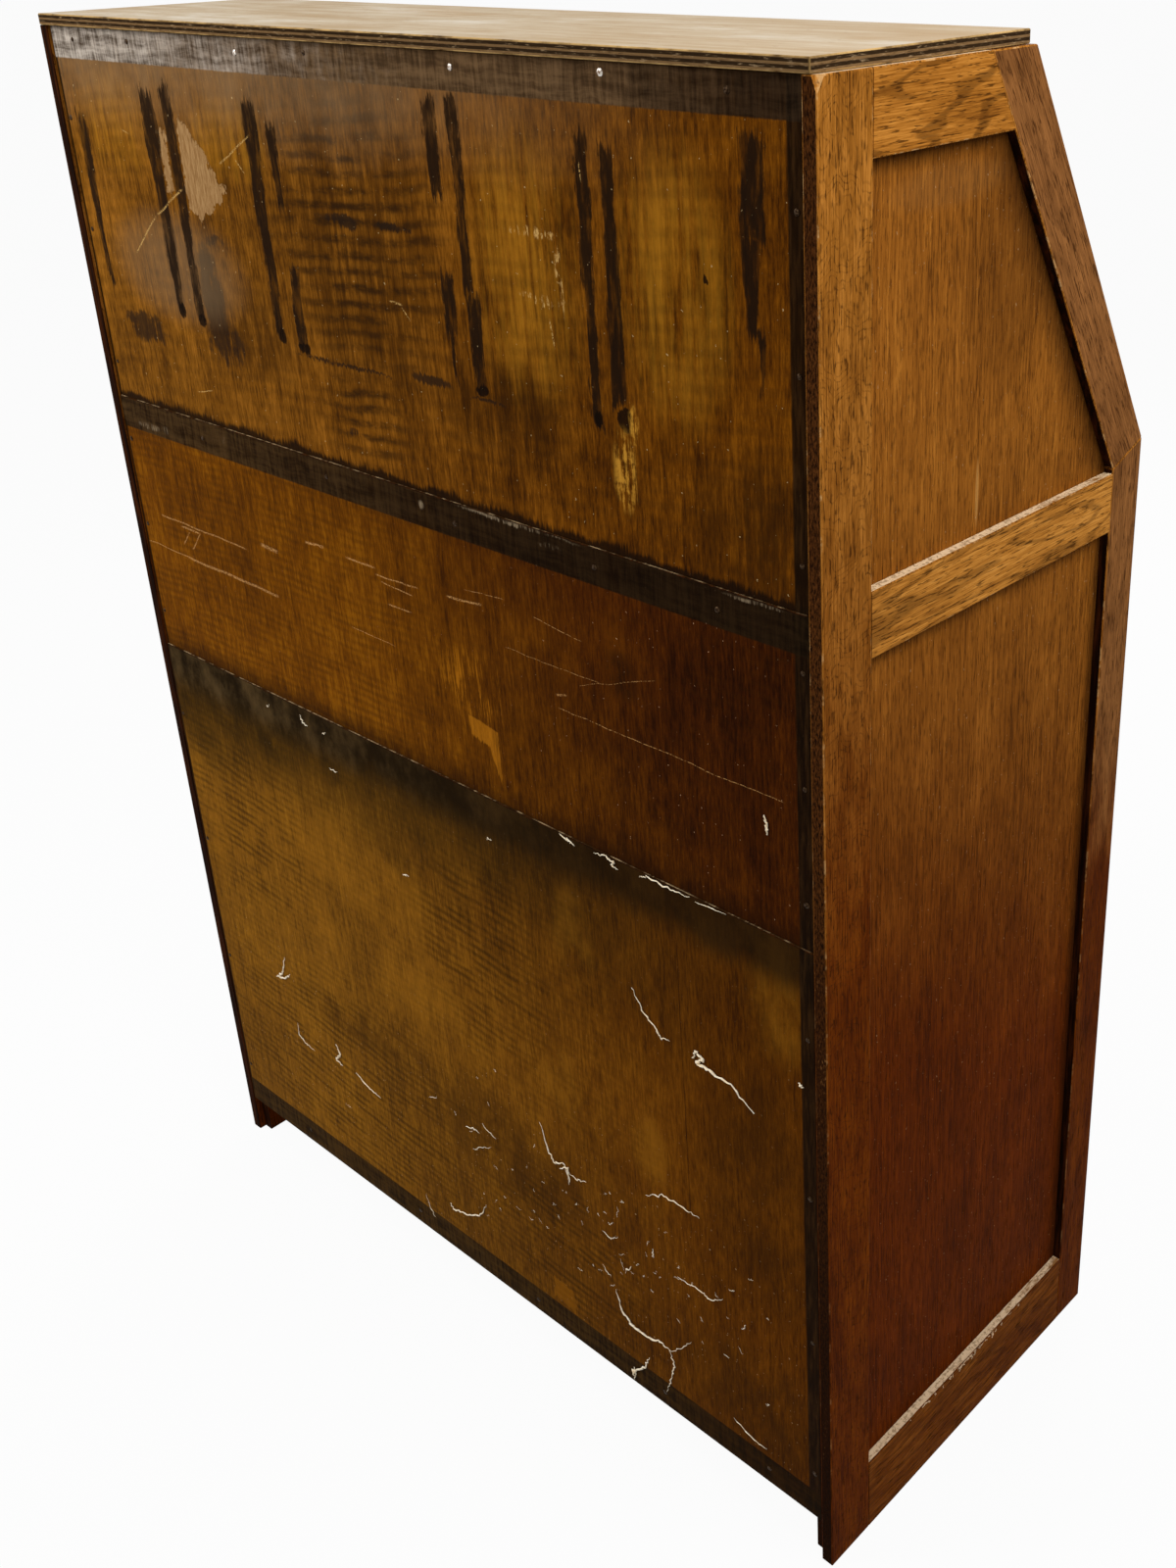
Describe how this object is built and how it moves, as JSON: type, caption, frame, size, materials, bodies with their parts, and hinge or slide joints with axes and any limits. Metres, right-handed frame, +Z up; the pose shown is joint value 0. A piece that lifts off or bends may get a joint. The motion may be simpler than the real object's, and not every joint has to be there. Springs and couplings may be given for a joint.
{
  "type": "writing bureau",
  "caption": "Free-standing oak writing bureau with framed sides, a sloping fall that opens to a desk on sliding lopers, a long drawer and a cupboard with doors.",
  "frame": {"origin": "on the floor, under the middle of the outline's width and depth", "axes": "+Z up, front of the bureau towards -Y, its left side towards -X"},
  "size_m": [0.762, 0.368, 1.0593],
  "materials": {
    "oak_frame": "reddish amber oak, open grain, worn satin varnish",
    "oak_panel": "straight-grained oak veneer, reddish brown, satin varnish",
    "top_ply": "faded grey-tan plywood, matt",
    "back_ply": "amber stained plywood with dark borders, scratches and dust",
    "oak_front": "reddish amber oak, satin varnish",
    "inner_wood": "plain softwood, dry and darkened with age",
    "turned_oak": "turned oak, satin varnish",
    "brass": "dull aged brass"
  },
  "bodies": {
    "carcase": {"left_rear_stile": "oak_frame", "left_front_stile": "oak_frame", "left_slope_stile": "oak_frame", "left_top_rail": "oak_frame", "left_mid_rail": "oak_frame", "left_bottom_rail": "oak_frame", "left_upper_panel": "oak_panel", "left_lower_panel": "oak_panel", "right_rear_stile": "oak_frame", "right_front_stile": "oak_frame", "right_slope_stile": "oak_frame", "right_top_rail": "oak_frame", "right_mid_rail": "oak_frame", "right_bottom_rail": "oak_frame", "right_upper_panel": "oak_panel", "right_lower_panel": "oak_panel", "top_board": "top_ply", "top_front_rail": "inner_wood", "top_rear_rail": "inner_wood", "back_sheet_upper": "back_ply", "back_sheet_middle": "back_ply", "back_sheet_lower": "back_ply", "desk_bed": "oak_front", "cupboard_top": "oak_front", "bottom_board": "oak_front", "cupboard_shelf": "inner_wood", "plinth": "oak_front", "frieze_rail": "oak_front", "pigeonhole_shelf": "inner_wood", "pigeonhole_divider_1": "inner_wood", "pigeonhole_divider_2": "inner_wood", "left_loper_guide": "inner_wood", "right_loper_guide": "inner_wood", "left_fall_hinge_bed_leaf": "brass", "right_fall_hinge_bed_leaf": "brass", "left_door_lower_hinge_stile_leaf": "brass", "left_door_upper_hinge_stile_leaf": "brass", "right_door_lower_hinge_stile_leaf": "brass", "right_door_upper_hinge_stile_leaf": "brass"},
    "fall": {"fall_board": "oak_front", "fall_knob": "turned_oak", "left_fall_hinge_fall_leaf": "brass", "right_fall_hinge_fall_leaf": "brass"},
    "loper_left": {"left_loper": "oak_front"},
    "loper_right": {"right_loper": "oak_front"},
    "drawer": {"drawer_front": "oak_front", "drawer_left_side": "inner_wood", "drawer_right_side": "inner_wood", "drawer_back": "inner_wood", "drawer_bottom": "inner_wood", "drawer_left_knob": "turned_oak", "drawer_right_knob": "turned_oak"},
    "door_left": {"left_door": "oak_front", "left_door_knob": "turned_oak", "left_door_lower_hinge_door_leaf": "brass", "left_door_upper_hinge_door_leaf": "brass"},
    "door_right": {"right_door": "oak_front", "right_door_knob": "turned_oak", "right_door_lower_hinge_door_leaf": "brass", "right_door_upper_hinge_door_leaf": "brass"}
  },
  "joints": [
    {"name": "fall_hinge", "type": "hinge", "parent": "carcase", "child": "fall", "pos_m": [0, -0.14488, 0.77], "axis": [1, 0, 0], "range_deg": [0, 119.76]},
    {"name": "loper_left_slide", "type": "slide", "parent": "carcase", "child": "loper_left", "axis": [0, -1, 0], "range_m": [0, 0.21]},
    {"name": "loper_right_slide", "type": "slide", "parent": "carcase", "child": "loper_right", "axis": [0, -1, 0], "range_m": [0, 0.21]},
    {"name": "drawer_slide", "type": "slide", "parent": "carcase", "child": "drawer", "axis": [0, -1, 0], "range_m": [0, 0.22]},
    {"name": "door_left_hinge", "type": "hinge", "parent": "carcase", "child": "door_left", "pos_m": [-0.3605, -0.1641, 0.2955], "axis": [0, 0, -1], "range_deg": [0, 165]},
    {"name": "door_right_hinge", "type": "hinge", "parent": "carcase", "child": "door_right", "pos_m": [0.3605, -0.1641, 0.2955], "axis": [0, 0, 1], "range_deg": [0, 165]}
  ]
}
